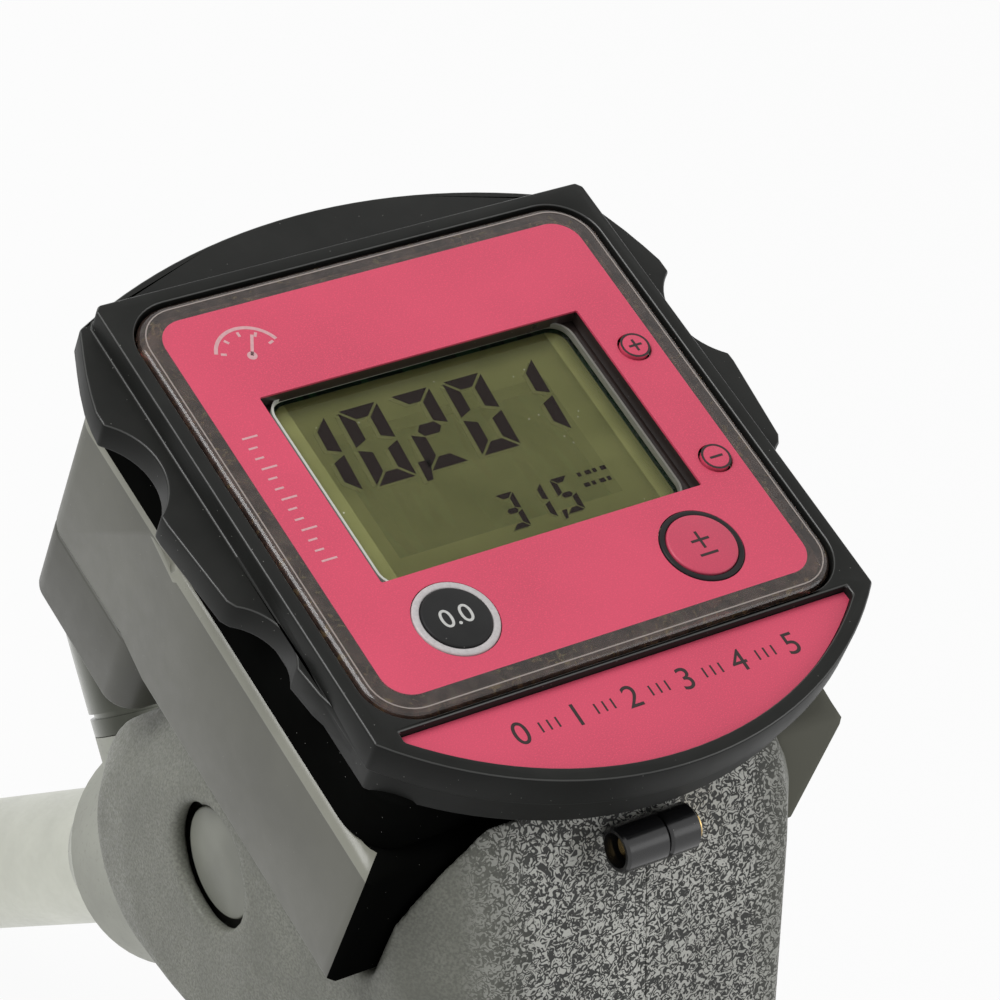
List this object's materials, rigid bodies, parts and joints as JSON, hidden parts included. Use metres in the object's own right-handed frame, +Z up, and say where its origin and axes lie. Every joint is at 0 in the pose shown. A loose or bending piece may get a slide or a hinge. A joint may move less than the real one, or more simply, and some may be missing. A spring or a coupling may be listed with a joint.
{
  "type": "metered fuel nozzle",
  "caption": "Hand-held metered fuel nozzle: a digital display head on a gear flow meter, an angled spout, an under-hand lever with guard and a rear hose inlet.",
  "frame": {"origin": "centre of the mouth of the threaded hose inlet at the rear of the handle", "axes": "+X to the right as the display is read, +Y forwards from the inlet towards the spout, +Z up out of the display"},
  "size_m": [0.102, 0.338, 0.2855],
  "materials": {
    "bezel_black": "fine matte",
    "turret_black": "fine matte",
    "case_clear": "clear gloss",
    "label_crimson": "satin film with fine sparkle",
    "lens": "clear",
    "panel_olive": "matt display",
    "board_green": "satin",
    "cell_steel": "satin",
    "ring_silver": "bright",
    "button_black": "satin",
    "ring_black": "gloss",
    "button_crimson": "satin",
    "screw_steel": "satin",
    "housing_grey": "satin",
    "gear_alloy": "machined",
    "seal_rubber": "matte",
    "magnet_dark": "satin",
    "casting_alloy": "sand cast",
    "cover_grain": "wrinkle grain",
    "brass": "machined",
    "plug_grey": "smooth matte",
    "grip_rubber": "matte",
    "lever_black": "powder coat",
    "guard_black": "fine matte",
    "latch_steel": "plated",
    "stem_steel": "ground",
    "cap_chrome": "polished",
    "spout_alloy": "satin"
  },
  "bodies": {
    "nozzle": {"display_bezel": "bezel_black", "turret": "turret_black", "clear_case": "case_clear", "upper_label": "label_crimson", "lower_label": "label_crimson", "display_glass": "lens", "display_panel": "panel_olive", "circuit_board": "board_green", "battery_cells": "cell_steel", "reset_ring": "ring_silver", "cal_ring": "ring_black", "head_screws": "screw_steel", "meter_housing": "housing_grey", "outlet_block": "housing_grey", "chamber_cover": "gear_alloy", "chamber_seal": "seal_rubber", "gear_shafts": "stem_steel", "body_casting": "casting_alloy", "cover_left": "cover_grain", "cover_right": "cover_grain", "cover_screw": "brass", "side_plugs": "plug_grey", "grip_sleeve": "grip_rubber", "inlet_ring": "spout_alloy", "pivot_pin": "screw_steel", "lever_guard": "guard_black", "guard_screws": "screw_steel", "latch_pin": "screw_steel", "valve_spring": "stem_steel", "packing_nut": "brass", "shutoff_cap": "cap_chrome", "shutoff_diaphragm": "seal_rubber", "shutoff_spring": "stem_steel", "spout_nut": "spout_alloy", "spout_collar": "spout_alloy", "spout_tube": "spout_alloy", "vacuum_tube": "spout_alloy"},
    "trigger": {"trigger_lever": "lever_black"},
    "valve": {"valve_stem": "stem_steel", "poppet_seal": "seal_rubber"},
    "latch": {"hold_open_latch": "latch_steel"},
    "left_gear": {"gear_left": "gear_alloy", "gear_magnets": "magnet_dark"},
    "right_gear": {"gear_right": "gear_alloy"},
    "reset_key": {"reset_button": "button_black"},
    "calibration_key": {"cal_button": "button_crimson"},
    "plus_key": {"plus_button": "button_crimson"},
    "minus_key": {"minus_button": "button_crimson"}
  },
  "joints": [
    {"name": "trigger_pull", "type": "hinge", "parent": "nozzle", "child": "trigger", "pos_m": [0, 0.185, -0.035], "axis": [-1, 0, 0], "range_deg": [0, 12], "stiffness_Nm_per_rad": 1, "springref_deg": -8.59},
    {"name": "stem_lift", "type": "slide", "parent": "nozzle", "child": "valve", "axis": [0, 0, 1], "range_m": [0, 0.0064], "deforming": ["valve_spring"]},
    {"name": "latch_swing", "type": "hinge", "parent": "nozzle", "child": "latch", "pos_m": [0, 0.077, -0.0743], "axis": [1, 0, 0], "range_deg": [0, 23]},
    {"name": "left_gear_spin", "type": "hinge", "parent": "nozzle", "child": "left_gear", "pos_m": [-0.016, 0.201, 0.044], "axis": [0, 0, 1], "continuous": true},
    {"name": "right_gear_spin", "type": "hinge", "parent": "nozzle", "child": "right_gear", "pos_m": [0.016, 0.201, 0.044], "axis": [0, 0, 1], "continuous": true},
    {"name": "reset_press", "type": "slide", "parent": "nozzle", "child": "reset_key", "axis": [0, 0, -1], "range_m": [0, 0.0006], "stiffness_N_per_m": 400, "springref_m": -0.0005},
    {"name": "calibration_press", "type": "slide", "parent": "nozzle", "child": "calibration_key", "axis": [0, 0, -1], "range_m": [0, 0.0006], "stiffness_N_per_m": 400, "springref_m": -0.0005},
    {"name": "plus_press", "type": "slide", "parent": "nozzle", "child": "plus_key", "axis": [0, 0, -1], "range_m": [0, 0.0006], "stiffness_N_per_m": 400, "springref_m": -0.0005},
    {"name": "minus_press", "type": "slide", "parent": "nozzle", "child": "minus_key", "axis": [0, 0, -1], "range_m": [0, 0.0006], "stiffness_N_per_m": 400, "springref_m": -0.0005}
  ],
  "couplings": [
    {"joint": "stem_lift", "follows": "trigger_pull", "m_per_rad": 0.03},
    {"joint": "right_gear_spin", "follows": "left_gear_spin", "ratio": -1}
  ]
}
